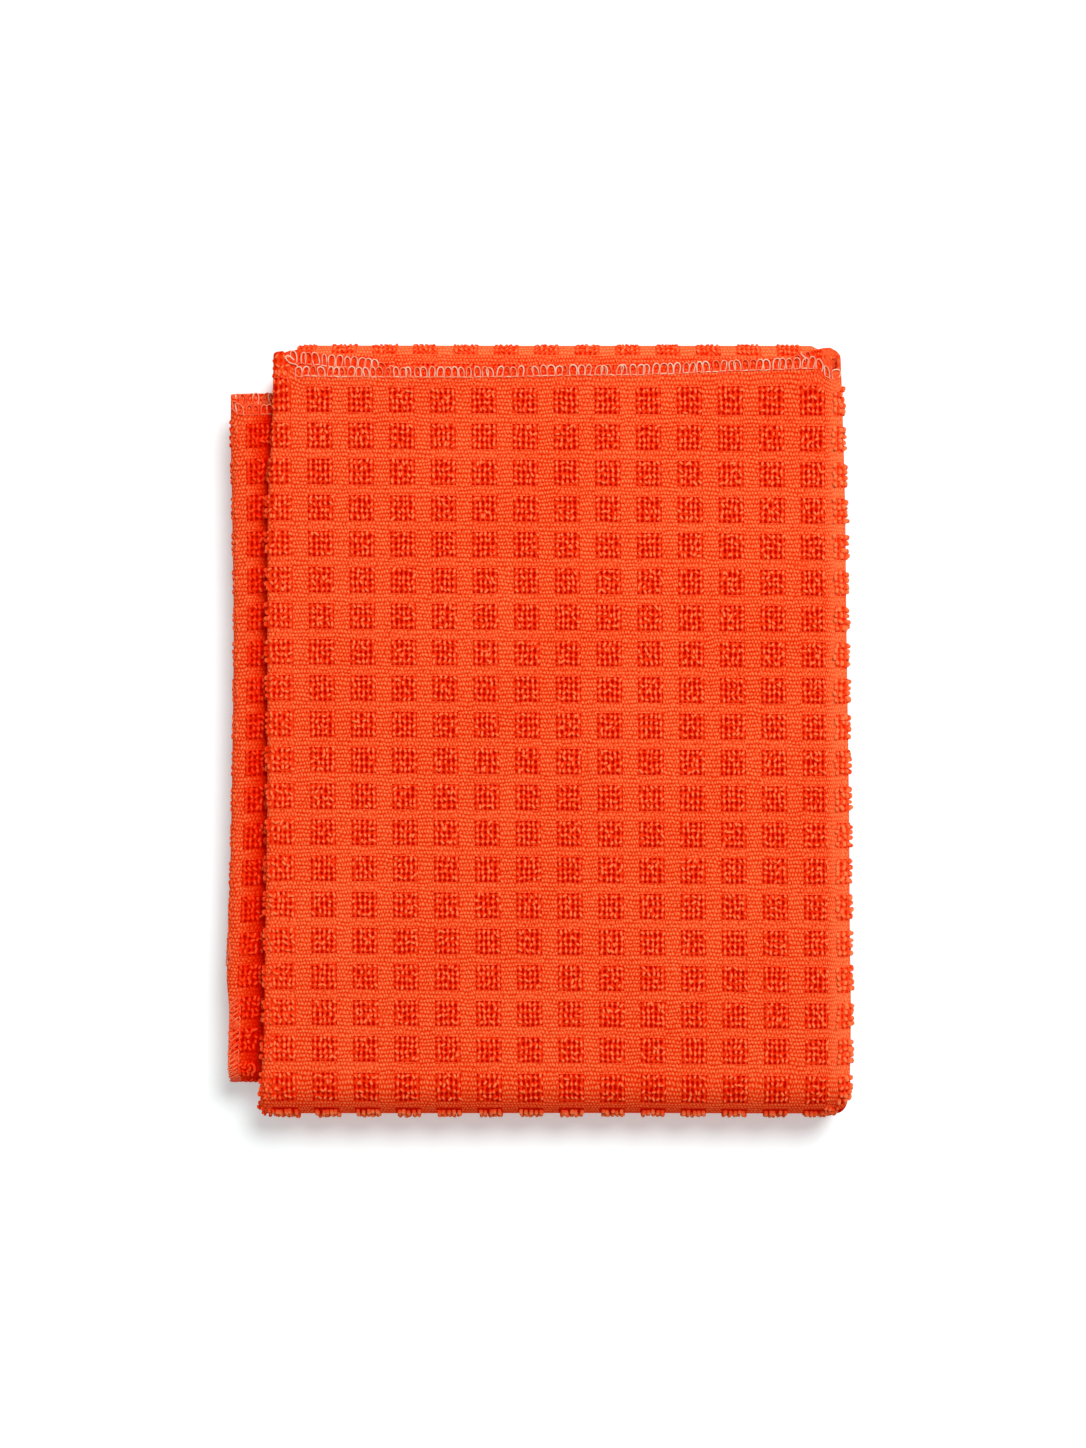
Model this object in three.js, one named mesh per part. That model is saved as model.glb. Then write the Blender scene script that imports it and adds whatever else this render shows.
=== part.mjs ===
import * as THREE from "three";

// A floor cloth of knitted terry, folded in three across its width and then in
// three along its length, lying flat as a packet. Millimetres, +Z up.
// Seen from above, +Y is the end with the top hem, and a strip of the cloth's
// side stands out at -X.
//
// Across the width the cloth has a middle third, a left third folded directly
// under it, and a right third folded under both, whose free edge is the strip.
// Along the length it has a flap on top, a back panel on the surface and an
// inner panel between them.

// Driving sizes of the cloth
const CLOTH_WIDTH = 600;
const CLOTH_LENGTH = 800;
const SHEET = 2.2;
const LAYER = 3.0;

// Levels of the outermost layer of each panel, in layers above the back panel
const FLAP_LEVEL = 8.3;
const INNER_LEVEL = 5.3;

// Where the packet lies, in the plane of the surface, with the centre of the
// view as zero
const HEM_Y = 125.3;
const BOTTOM_BEND_Y = -125.5;
const TOP_BEND_Y = 127.0;
const ACROSS_OF_X_ZERO = 267.5;

// Radii of the bends, measured on the middle third's mid-surface
const BOTTOM_RADIUS = (FLAP_LEVEL * LAYER) / 2;
const TOP_RADIUS = (INNER_LEVEL * LAYER) / 2;
const LEFT_RADIUS = LAYER / 2;
const RIGHT_RADIUS = LAYER;

// The strip's edge turns down and under
const TURN_RADIUS = 2.8;
const TURN_STARTS = CLOTH_WIDTH - 13.1;

// The strip's bottom bend is set back, more and more over a stretch across the
// cloth, and over a stretch along it before the bend and one after
const STRIP_SETBACK = { depth: 5.6, across: 120, before: 60, after: 90 };

// Lengths along the middle third at which each bend starts and ends
const FLAP_END = HEM_Y - BOTTOM_BEND_Y;
const BACK_START = FLAP_END + Math.PI * BOTTOM_RADIUS;
const BACK_END = BACK_START + TOP_BEND_Y - BOTTOM_BEND_Y;
const INNER_START = BACK_END + Math.PI * TOP_RADIUS;
const BOTTOM_MIDDLE = (FLAP_END + BACK_START) / 2;
const TOP_MIDDLE = (BACK_END + INNER_START) / 2;

// Sides of the packet along the length: left and right are the outermost
// points of the folds, strip is where the strip's edge starts to turn under,
// turn is how far it turns, in half turns, spare is how much wider than its
// nominal width the cloth is cut there, and drift is how far the middle third
// lies to the right of where the flap's rows would put it
const SIDES = [
  { along: -8, left: -94.0, right: 104.0, strip: -107.2, turn: 1, spare: 11, drift: 0 },
  { along: 18, left: -94.4, right: 104.9, strip: -107.4, turn: 1, spare: 7, drift: 0 },
  { along: 47, left: -96.0, right: 105.7, strip: -106.9, turn: 1, spare: 2, drift: 0 },
  { along: 90, left: -96.4, right: 106.2, strip: -106.3, turn: 1, spare: 0, drift: 0 },
  { along: 150, left: -96.3, right: 107.0, strip: -107.0, turn: 0.95, spare: -3, drift: 0 },
  { along: 190, left: -97.0, right: 107.2, strip: -107.9, turn: 0.85, spare: -5.2, drift: 0 },
  { along: 205, left: -97.2, right: 107.3, strip: -108.3, turn: 0.7, spare: -7.4, drift: 0 },
  { along: 217, left: -97.4, right: 107.5, strip: -108.8, turn: 0.55, spare: -9.6, drift: 0 },
  { along: 229, left: -97.6, right: 107.6, strip: -109.3, turn: 0.4, spare: -11.7, drift: 0 },
  { along: FLAP_END, left: -98.3, right: 107.2, strip: -110.9, turn: 0.2, spare: -12.8, drift: 0 },
  { along: BOTTOM_MIDDLE, left: -99.7, right: 106.8, strip: -110.4, turn: 0, spare: -12.8, drift: 0 },
  { along: BACK_START, left: -98.6, right: 106.6, strip: -108.4, turn: 0, spare: -12, drift: 0.4 },
  { along: 410, left: -94.0, right: 103.5, strip: -96.4, turn: 0, spare: -8, drift: 3.4 },
  { along: BACK_END, left: -88.8, right: 100.0, strip: -87.7, turn: 0, spare: -4, drift: 6.4 },
  { along: TOP_MIDDLE, left: -87.0, right: 98.2, strip: -84.2, turn: 0, spare: -3, drift: 6.6 },
  { along: INNER_START, left: -88.8, right: 99.4, strip: -85.7, turn: 0, spare: -3, drift: 6.6 },
  { along: 808, left: -91.5, right: 101.0, strip: -87.7, turn: 0, spare: 0, drift: 3.0 },
];

// The hem on top: how far the cloth has slid along its length towards the
// bottom bend, by the distance across the cloth
const HEM_SLIDES = [
  { across: 0, slide: 2.0 },
  { across: 60, slide: 1.0 },
  { across: 105, slide: 0.9 },
  { across: 128, slide: 0.3 },
  { across: 137.5, slide: -3.0 },
  { across: 149, slide: -4.1 },
  { across: 163, slide: -5.6 },
  { across: 168, slide: -6.0 },
  { across: 170.5, slide: -4.6 },
  { across: 172.2, slide: -3.9 },
  { across: 174, slide: -4.9 },
  { across: 176.2, slide: -5.3 },
  { across: 178.5, slide: -5.2 },
  { across: 181, slide: 0.2 },
  { across: 184, slide: 0.0 },
  { across: 195, slide: 0.35 },
  { across: 240, slide: 0.4 },
  { across: 257, slide: 0.1 },
  { across: 275, slide: -0.35 },
  { across: 297, slide: -0.5 },
  { across: 306, slide: -0.8 },
  { across: 316, slide: -1.2 },
  { across: 325, slide: -1.7 },
  { across: 336, slide: -2.3 },
  { across: 347, slide: -2.6 },
  { across: 358, slide: -3.1 },
  { across: 364, slide: -2.9 },
  { across: 367, slide: 0.4 },
  { across: 369.5, slide: 1.2 },
  { across: 371.5, slide: 0.2 },
  { across: 373.5, slide: -4.0 },
  { across: 376.2, slide: -7.0 },
  { across: 378, slide: -7.7 },
  { across: 382, slide: -7.4 },
  { across: 387, slide: -6.4 },
  { across: 391, slide: -5.2 },
  { across: 398, slide: -3.2 },
  { across: 404, slide: -2.6 },
  { across: 412, slide: -1.6 },
  { across: 424, slide: -0.6 },
  { across: 440, slide: 0.0 },
  { across: 560, slide: 0.4 },
  { across: 586, slide: 0.6 },
  { across: 590, slide: -3.0 },
  { across: 594, slide: -4.3 },
  { across: 620, slide: -4.3 },
];
const HEM_FADES = 16;

// How far the whole width slides along the length, and the strip's own slide,
// which the right third shares out evenly from its fold
const PANEL_SLIDES = [
  { along: -8, all: 0, strip: 12.1 },
  { along: 120, all: 0, strip: 12.6 },
  { along: FLAP_END, all: 0, strip: 13.0 },
  { along: BACK_START, all: -0.6, strip: 11.0 },
  { along: BACK_END, all: -5.5, strip: 2.0 },
  { along: INNER_START, all: -5.5, strip: 0 },
  { along: 808, all: 6.0, strip: -4.0 },
];

// Soft waves in the height of the packet, as shares of the height
const WAVES = [
  { lengthX: 260, lengthY: 430, phase: 0.6, share: 0.018 },
  { lengthX: -150, lengthY: 310, phase: 2.1, share: 0.012 },
  { lengthX: 95, lengthY: -170, phase: 4.0, share: 0.006 },
];

// Steps of the surface in each stretch across and along the cloth
const STEPS = {
  leftThird: 5,
  leftFold: 8,
  middleThird: 12,
  rightFold: 9,
  rightThird: 7,
  turnedEdge: 7,
  flap: 13,
  bottomBend: 10,
  back: 8,
  topBend: 9,
  inner: 5,
};
const DIFFERENCE = 0.05;

// Value of a column of a table at a place, on a smooth line through its rows
function along(rows, place, key, column) {
  let next = rows.findIndex((row) => row[key] > place);
  if (next < 1) {
    next = next === 0 ? 1 : rows.length - 1;
  }
  const a = rows[next - 1];
  const b = rows[next];
  const before = rows[Math.max(next - 2, 0)];
  const after = rows[Math.min(next + 1, rows.length - 1)];
  const span = b[key] - a[key];
  const t = Math.min(Math.max((place - a[key]) / span, 0), 1);
  const slopeA = (span * (b[column] - before[column])) / (b[key] - before[key]);
  const slopeB = (span * (after[column] - a[column])) / (after[key] - a[key]);
  const rise = b[column] - a[column];
  return (
    a[column] +
    slopeA * t +
    (3 * rise - 2 * slopeA - slopeB) * t * t +
    (slopeA + slopeB - 2 * rise) * t * t * t
  );
}

// Eased share of a stretch, from zero at its start to one at its end
function eased(value, start, end) {
  return THREE.MathUtils.smoothstep(value, start, end);
}

// Places across the cloth of its folds, at a length along it
function foldsAt(length) {
  const left = along(SIDES, length, "along", "left") + LEFT_RADIUS;
  const right = along(SIDES, length, "along", "right") - RIGHT_RADIUS;
  const middle = ACROSS_OF_X_ZERO - along(SIDES, length, "along", "drift");
  const leftFold = middle + left;
  const rightFold = middle + right;
  return {
    left,
    right,
    middle,
    strip: along(SIDES, length, "along", "strip"),
    halfTurns: Math.max(along(SIDES, length, "along", "turn"), 0),
    leftThirdEnd: leftFold - Math.PI * LEFT_RADIUS,
    leftFold,
    rightFold,
    rightThirdStart: rightFold + Math.PI * RIGHT_RADIUS,
  };
}

// Section across the packet: x, and the depth below the middle third
function section(across, length) {
  const f = foldsAt(length);
  if (across < f.leftThirdEnd) {
    return { x: f.left + f.leftThirdEnd - across, depth: 2 * LEFT_RADIUS };
  }
  if (across < f.leftFold) {
    const turned = (f.leftFold - across) / LEFT_RADIUS;
    const x = f.left - LEFT_RADIUS * Math.sin(turned);
    return { x, depth: LEFT_RADIUS * (1 - Math.cos(turned)) };
  }
  if (across < f.rightFold) {
    return { x: across - f.middle, depth: 0 };
  }
  if (across < f.rightThirdStart) {
    const turned = (across - f.rightFold) / RIGHT_RADIUS;
    const x = f.right + RIGHT_RADIUS * Math.sin(turned);
    return { x, depth: RIGHT_RADIUS * (1 - Math.cos(turned)) };
  }
  if (across < TURN_STARTS) {
    const share = (across - f.rightThirdStart) / (TURN_STARTS - f.rightThirdStart);
    return { x: f.right + share * (f.strip - f.right), depth: 2 * RIGHT_RADIUS };
  }
  const past = across - TURN_STARTS;
  const turned = Math.min(past / TURN_RADIUS, Math.PI * f.halfTurns);
  const straight = past - turned * TURN_RADIUS;
  const out = TURN_RADIUS * Math.sin(turned) + straight * Math.cos(turned);
  const down = TURN_RADIUS * (1 - Math.cos(turned)) + straight * Math.sin(turned);
  return { x: f.strip - out, depth: 2 * RIGHT_RADIUS + down };
}

// Path along the packet of the middle third: y and z, and the direction
// towards the inside of the packet
function lengthPath(length) {
  const top = SHEET / 2 + FLAP_LEVEL * LAYER;
  const bottom = SHEET / 2;
  if (length < FLAP_END) {
    return { y: HEM_Y - length, z: top, inY: 0, inZ: -1 };
  }
  if (length < BACK_START) {
    const turned = (length - FLAP_END) / BOTTOM_RADIUS;
    const inY = Math.sin(turned);
    const inZ = -Math.cos(turned);
    const y = BOTTOM_BEND_Y - BOTTOM_RADIUS * inY;
    return { y, z: top - BOTTOM_RADIUS * (1 + inZ), inY, inZ };
  }
  if (length < BACK_END) {
    return { y: BOTTOM_BEND_Y + length - BACK_START, z: bottom, inY: 0, inZ: 1 };
  }
  if (length < INNER_START) {
    const turned = (length - BACK_END) / TOP_RADIUS;
    const inY = -Math.sin(turned);
    const inZ = Math.cos(turned);
    const y = TOP_BEND_Y - TOP_RADIUS * inY;
    return { y, z: bottom + TOP_RADIUS * (1 - inZ), inY, inZ };
  }
  const z = bottom + 2 * TOP_RADIUS;
  return { y: TOP_BEND_Y - (length - INNER_START), z, inY: 0, inZ: -1 };
}

// How far a point of the cloth has slid along the length
function slideAt(across, length) {
  const hem = along(HEM_SLIDES, across, "across", "slide");
  const f = foldsAt(length);
  const share = (across - f.rightThirdStart) / (TURN_STARTS - f.rightThirdStart);
  const strip = along(PANEL_SLIDES, length, "along", "strip");
  const shared = strip * THREE.MathUtils.clamp(share, 0, 1);
  const all = along(PANEL_SLIDES, length, "along", "all");
  return all + hem * (1 - eased(length, 0, HEM_FADES)) + shared;
}

// A point of the cloth's mid-surface, by its place across and along the cloth
function clothPoint(across, length) {
  const place = length + slideAt(across, length);
  const { x, depth } = section(across, place);
  const path = lengthPath(place);
  const onStrip = eased(across, TURN_STARTS - STRIP_SETBACK.across, TURN_STARTS);
  const nears = eased(place, FLAP_END - STRIP_SETBACK.before, FLAP_END);
  const leaves = eased(place, BACK_START, BACK_START + STRIP_SETBACK.after);
  const setback = STRIP_SETBACK.depth * onStrip * nears * (1 - leaves);
  const y = path.y + depth * path.inY + setback;
  const flatZ = path.z + depth * path.inZ;
  let wave = 1;
  for (const { lengthX, lengthY, phase, share } of WAVES) {
    wave += share * Math.sin(2 * Math.PI * (x / lengthX + y / lengthY) + phase);
  }
  return new THREE.Vector3(x, y, SHEET / 2 + (flatZ - SHEET / 2) * wave);
}

// The cloth's outward direction at a point: up on the flap
function clothNormal(across, length) {
  const acrossStep = clothPoint(across + DIFFERENCE, length).sub(
    clothPoint(across - DIFFERENCE, length),
  );
  const alongStep = clothPoint(across, length + DIFFERENCE).sub(
    clothPoint(across, length - DIFFERENCE),
  );
  return alongStep.cross(acrossStep).normalize();
}

// Evenly spaced places from a start up to, and without, an end
function spaced(start, end, steps) {
  return Array.from({ length: steps }, (_, i) => start + ((end - start) * i) / steps);
}

// Places across the cloth at a length along it, up to its cut edge
function placesAcross(length) {
  const place = length + along(PANEL_SLIDES, length, "along", "all");
  const stripPlace = place + along(PANEL_SLIDES, length, "along", "strip");
  const edge = CLOTH_WIDTH + along(SIDES, stripPlace, "along", "spare");
  const f = foldsAt(place);
  return [
    ...spaced(0, f.leftThirdEnd, STEPS.leftThird),
    ...spaced(f.leftThirdEnd, f.leftFold, STEPS.leftFold),
    ...spaced(f.leftFold, f.rightFold, STEPS.middleThird),
    ...spaced(f.rightFold, f.rightThirdStart, STEPS.rightFold),
    ...spaced(f.rightThirdStart, TURN_STARTS, STEPS.rightThird),
    ...spaced(TURN_STARTS, edge, STEPS.turnedEdge),
    edge,
  ];
}

// Places along the cloth
const PLACES_ALONG = [
  ...spaced(0, FLAP_END, STEPS.flap),
  ...spaced(FLAP_END, BACK_START, STEPS.bottomBend),
  ...spaced(BACK_START, BACK_END, STEPS.back),
  ...spaced(BACK_END, INNER_START, STEPS.topBend),
  ...spaced(INNER_START, CLOTH_LENGTH, STEPS.inner),
  CLOTH_LENGTH,
];

// The sheet as one closed body: an outer face, an inner face and a rim
function sheetGeometry() {
  const outer = [];
  const inner = [];
  for (const length of PLACES_ALONG) {
    for (const across of placesAcross(length)) {
      const point = clothPoint(across, length);
      const offset = clothNormal(across, length).multiplyScalar(SHEET / 2);
      outer.push(point.clone().add(offset));
      inner.push(point.clone().sub(offset));
    }
  }
  const columns = placesAcross(0).length;
  const rows = PLACES_ALONG.length;
  const under = outer.length;
  const triangles = [];
  const quad = (a, b, c, d) => triangles.push(a, b, c, a, c, d);
  const at = (row, column) => row * columns + column;
  for (let row = 0; row < rows - 1; row++) {
    for (let column = 0; column < columns - 1; column++) {
      const corners = [
        at(row, column),
        at(row + 1, column),
        at(row + 1, column + 1),
        at(row, column + 1),
      ];
      quad(...corners);
      quad(...corners.map((corner) => corner + under).reverse());
    }
  }
  const rim = (a, b) => quad(a, b, b + under, a + under);
  for (let column = 0; column < columns - 1; column++) {
    rim(at(0, column), at(0, column + 1));
    rim(at(rows - 1, column + 1), at(rows - 1, column));
  }
  for (let row = 0; row < rows - 1; row++) {
    rim(at(row + 1, 0), at(row, 0));
    rim(at(row, columns - 1), at(row + 1, columns - 1));
  }
  const geometry = new THREE.BufferGeometry().setFromPoints([...outer, ...inner]);
  geometry.setIndex(triangles);
  geometry.computeVertexNormals();
  return geometry;
}

const terry = new THREE.MeshStandardMaterial({
  color: 0xfb4a1c,
  roughness: 0.95,
  metalness: 0,
});

const cloth = new THREE.Mesh(sheetGeometry(), terry);
cloth.name = "cloth";

// The packet's centre stands at the origin
cloth.geometry.computeBoundingBox();
const middle = cloth.geometry.boundingBox.getCenter(new THREE.Vector3());
cloth.geometry.translate(-middle.x, -middle.y, 0);

const floorCloth = new THREE.Group();
floorCloth.name = "floor_cloth";
floorCloth.add(cloth);

export default floorCloth;
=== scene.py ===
import math

import bmesh
import bpy
import numpy as np
from mathutils import Matrix, Vector


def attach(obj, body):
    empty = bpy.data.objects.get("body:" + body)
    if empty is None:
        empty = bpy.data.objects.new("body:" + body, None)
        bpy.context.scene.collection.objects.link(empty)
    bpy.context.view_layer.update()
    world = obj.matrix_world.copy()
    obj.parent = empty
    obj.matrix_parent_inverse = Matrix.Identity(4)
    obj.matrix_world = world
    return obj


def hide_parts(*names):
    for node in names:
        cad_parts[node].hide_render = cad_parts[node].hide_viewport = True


bl_info = {
    "name": "Floor cloth",
    "version": (1, 0, 0),
    "blender": (4, 5, 0),
    "location": "View3D > Sidebar > Floor cloth",
    "description": "Makes a folded floor cloth of knitted terry, its pile and its hem thread",
    "category": "Object",
}

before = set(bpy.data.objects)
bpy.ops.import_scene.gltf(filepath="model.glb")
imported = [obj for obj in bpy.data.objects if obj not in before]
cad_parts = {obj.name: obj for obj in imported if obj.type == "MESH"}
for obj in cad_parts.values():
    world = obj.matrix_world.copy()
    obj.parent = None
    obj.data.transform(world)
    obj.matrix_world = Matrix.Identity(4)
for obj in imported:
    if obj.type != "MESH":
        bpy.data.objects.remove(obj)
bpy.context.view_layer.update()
MM = 0.001

# The cloth and its packet, in millimetres, as the solid has them
CLOTH_WIDTH = 600.0
CLOTH_LENGTH = 800.0
SHEET = 2.2
LAYER = 3.0
FLAP_LEVEL = 8.3
INNER_LEVEL = 5.3
HEM_Y = 125.3
BOTTOM_BEND_Y = -125.5
TOP_BEND_Y = 127.0
ACROSS_OF_X_ZERO = 267.5
BOTTOM_RADIUS = FLAP_LEVEL * LAYER / 2
TOP_RADIUS = INNER_LEVEL * LAYER / 2
LEFT_RADIUS = LAYER / 2
RIGHT_RADIUS = LAYER
TURN_RADIUS = 2.8
TURN_STARTS = CLOTH_WIDTH - 13.1
HEM_FADES = 16.0
FLAP_END = HEM_Y - BOTTOM_BEND_Y
BACK_START = FLAP_END + math.pi * BOTTOM_RADIUS
BACK_END = BACK_START + TOP_BEND_Y - BOTTOM_BEND_Y
INNER_START = BACK_END + math.pi * TOP_RADIUS
BOTTOM_MIDDLE = (FLAP_END + BACK_START) / 2
TOP_MIDDLE = (BACK_END + INNER_START) / 2

# How far the strip is set back at the bottom bend, and how far before the bend, after it and
# beside the strip's own turn this reaches
STRIP_SETBACK = 5.6
SETBACK_REACH = (60.0, 90.0, 120.0)

# The packet's centre, measured from the centre of the view
PACKET_CENTRE = (-1.7978, -1.5566)

# The pile on the underside is pressed by the packet's weight
UNDERSIDE_LIFT = 0.6
LOWEST = 0.05


def table(columns, *rows):
    """A table's values by column."""
    return dict(zip(columns.split(), np.array(rows, float).T))


# Sides of the packet along the length, as the solid has them
SIDE = table(
    "place left right strip turn spare drift",
    (-8, -94.0, 104.0, -107.2, 1, 11, 0),
    (18, -94.4, 104.9, -107.4, 1, 7, 0),
    (47, -96.0, 105.7, -106.9, 1, 2, 0),
    (90, -96.4, 106.2, -106.3, 1, 0, 0),
    (150, -96.3, 107.0, -107.0, 0.95, -3, 0),
    (190, -97.0, 107.2, -107.9, 0.85, -5.2, 0),
    (205, -97.2, 107.3, -108.3, 0.7, -7.4, 0),
    (217, -97.4, 107.5, -108.8, 0.55, -9.6, 0),
    (229, -97.6, 107.6, -109.3, 0.4, -11.7, 0),
    (FLAP_END, -98.3, 107.2, -110.9, 0.2, -12.8, 0),
    (BOTTOM_MIDDLE, -99.7, 106.8, -110.4, 0, -12.8, 0),
    (BACK_START, -98.6, 106.6, -108.4, 0, -12, 0.4),
    (410, -94.0, 103.5, -96.4, 0, -8, 3.4),
    (BACK_END, -88.8, 100.0, -87.7, 0, -4, 6.4),
    (TOP_MIDDLE, -87.0, 98.2, -84.2, 0, -3, 6.6),
    (INNER_START, -88.8, 99.4, -85.7, 0, -3, 6.6),
    (808, -91.5, 101.0, -87.7, 0, 0, 3.0),
)

# How far the hem has slid towards the bottom bend, across the cloth
HEM = table(
    "place slide",
    (0, 2.0), (60, 1.0), (105, 0.9), (128, 0.3), (137.5, -3.0), (149, -4.1), (163, -5.6),
    (168, -6.0), (170.5, -4.6), (172.2, -3.9), (174, -4.9), (176.2, -5.3), (178.5, -5.2),
    (181, 0.2), (184, 0.0), (195, 0.35), (240, 0.4), (257, 0.1), (275, -0.35), (297, -0.5),
    (306, -0.8), (316, -1.2), (325, -1.7), (336, -2.3), (347, -2.6), (358, -3.1), (364, -2.9),
    (367, 0.4), (369.5, 1.2), (371.5, 0.2), (373.5, -4.0), (376.2, -7.0), (378, -7.7),
    (382, -7.4), (387, -6.4), (391, -5.2), (398, -3.2), (404, -2.6), (412, -1.6), (424, -0.6),
    (440, 0.0), (560, 0.4), (586, 0.6), (590, -3.0), (594, -4.3), (620, -4.3),
)

# How far the whole width and the strip slide along the length
PANEL = table(
    "place all strip",
    (-8, 0, 12.1),
    (120, 0, 12.6),
    (FLAP_END, 0, 13.0),
    (BACK_START, -0.6, 11.0),
    (BACK_END, -5.5, 2.0),
    (INNER_START, -5.5, 0),
    (808, 6.0, -4.0),
)

# Soft waves in the height of the packet: lengths in x and y, phase and share of the height
WAVES = (
    (260, 430, 0.6, 0.018),
    (-150, 310, 2.1, 0.012),
    (95, -170, 4.0, 0.006),
)

# Where the grid of raised squares starts on the flat cloth, and how it leans:
# columns along the length about LEAN_ALONG, rows across the width about LEAN_ACROSS
FIRST_COLUMN = 3.1
FIRST_ROW = 11.9
COLUMN_LEAN = 0.0078
ROW_LEAN = 0.0065
LEAN_ALONG = 96.0
LEAN_ACROSS = 267.5

# How far the grid is stretched: its columns on the way to the strip and at the right fold,
# its rows into the bend, each as an amount, a start and an end, and how far the strip's rows
# slide and how fast
COLUMN_STRETCH = (6.0, 420.0, 560.0)
FOLD_STRETCH = (-3.6, 366.5, 371.5)
ROW_STRETCH = (1.8, FLAP_END - 6.0, FLAP_END + 8.0)
STRIP_ROWS = (-3.0, 0.0155)

# How far the grid has slid on the way up the back: across, along, and where it starts and ends
BACK_SHIFT = (-3.4, 7.2, 300.0, 420.0)


def on_table(rows, column, place):
    """Values of a column at places, on a smooth line through its rows."""
    keys = rows["place"]
    values = rows[column]
    last = len(keys) - 1
    end = np.clip(np.searchsorted(keys, place, side="right"), 1, last)
    start = end - 1
    before = np.maximum(start - 1, 0)
    after = np.minimum(end + 1, last)
    span = keys[end] - keys[start]
    share = np.clip((place - keys[start]) / span, 0, 1)
    first = span * (values[end] - values[before]) / (keys[end] - keys[before])
    second = span * (values[after] - values[start]) / (keys[after] - keys[start])
    rise = values[end] - values[start]
    square = (3 * rise - 2 * first - second) * share**2
    cube = (first + second - 2 * rise) * share**3
    return values[start] + first * share + square + cube


def eased(value, start, end):
    """Eased share of a stretch, from zero at its start to one at its end."""
    share = np.clip((value - start) / (end - start), 0, 1)
    return share * share * (3 - 2 * share)


FOLD_NAMES = ("left_third_end", "left_fold", "right_fold", "right_third_start")


def folds_at(place):
    """Places across the cloth of its folds, and their x, at places along the packet."""
    left = on_table(SIDE, "left", place) + LEFT_RADIUS
    right = on_table(SIDE, "right", place) - RIGHT_RADIUS
    middle = ACROSS_OF_X_ZERO - on_table(SIDE, "drift", place)
    return {
        "left": left,
        "right": right,
        "middle": middle,
        "strip": on_table(SIDE, "strip", place),
        "half_turns": np.maximum(on_table(SIDE, "turn", place), 0),
        "left_third_end": middle + left - math.pi * LEFT_RADIUS,
        "left_fold": middle + left,
        "right_fold": middle + right,
        "right_third_start": middle + right + math.pi * RIGHT_RADIUS,
    }


def right_third_share(folds, across):
    """Share of the way over the right third, from its fold to the strip's turn."""
    return (across - folds["right_third_start"]) / (TURN_STARTS - folds["right_third_start"])


def section(across, place):
    """Section across the packet: x, and the depth below the middle third."""
    folds = folds_at(place)
    on_left = (folds["left_fold"] - across) / LEFT_RADIUS
    on_right = (across - folds["right_fold"]) / RIGHT_RADIUS
    share = right_third_share(folds, across)
    past = np.maximum(across - TURN_STARTS, 0)
    turned = np.minimum(past / TURN_RADIUS, math.pi * folds["half_turns"])
    straight = past - turned * TURN_RADIUS
    out = TURN_RADIUS * np.sin(turned) + straight * np.cos(turned)
    down = TURN_RADIUS * (1 - np.cos(turned)) + straight * np.sin(turned)
    stretch = [across < folds[fold] for fold in FOLD_NAMES]
    stretch.append(across < TURN_STARTS)
    x = np.select(
        stretch,
        [
            folds["left"] + folds["left_third_end"] - across,
            folds["left"] - LEFT_RADIUS * np.sin(on_left),
            across - folds["middle"],
            folds["right"] + RIGHT_RADIUS * np.sin(on_right),
            folds["right"] + share * (folds["strip"] - folds["right"]),
        ],
        folds["strip"] - out,
    )
    at_left = LEFT_RADIUS * (1 - np.cos(on_left))
    at_right = RIGHT_RADIUS * (1 - np.cos(on_right))
    under = 2 * RIGHT_RADIUS
    depth = np.select(stretch, [2 * LEFT_RADIUS, at_left, 0, at_right, under], under + down)
    return x, depth


def length_path(place):
    """Path of the middle third along the packet: y, z and the way inwards."""
    top = SHEET / 2 + FLAP_LEVEL * LAYER
    bottom = SHEET / 2
    at_bottom = (place - FLAP_END) / BOTTOM_RADIUS
    at_top = (place - BACK_END) / TOP_RADIUS
    stretch = [place < end for end in (FLAP_END, BACK_START, BACK_END, INNER_START)]
    in_y = np.select(stretch, [0, np.sin(at_bottom), 0, -np.sin(at_top)], 0)
    in_z = np.select(stretch, [-1, -np.cos(at_bottom), 1, np.cos(at_top)], -1)
    y = np.select(
        stretch,
        [
            HEM_Y - place,
            BOTTOM_BEND_Y - BOTTOM_RADIUS * in_y,
            BOTTOM_BEND_Y + place - BACK_START,
            TOP_BEND_Y - TOP_RADIUS * in_y,
        ],
        TOP_BEND_Y - (place - INNER_START),
    )
    z = np.select(
        stretch,
        [top, top - BOTTOM_RADIUS * (1 + in_z), bottom, bottom + TOP_RADIUS * (1 - in_z)],
        bottom + 2 * TOP_RADIUS,
    )
    return y, z, in_y, in_z


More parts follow.
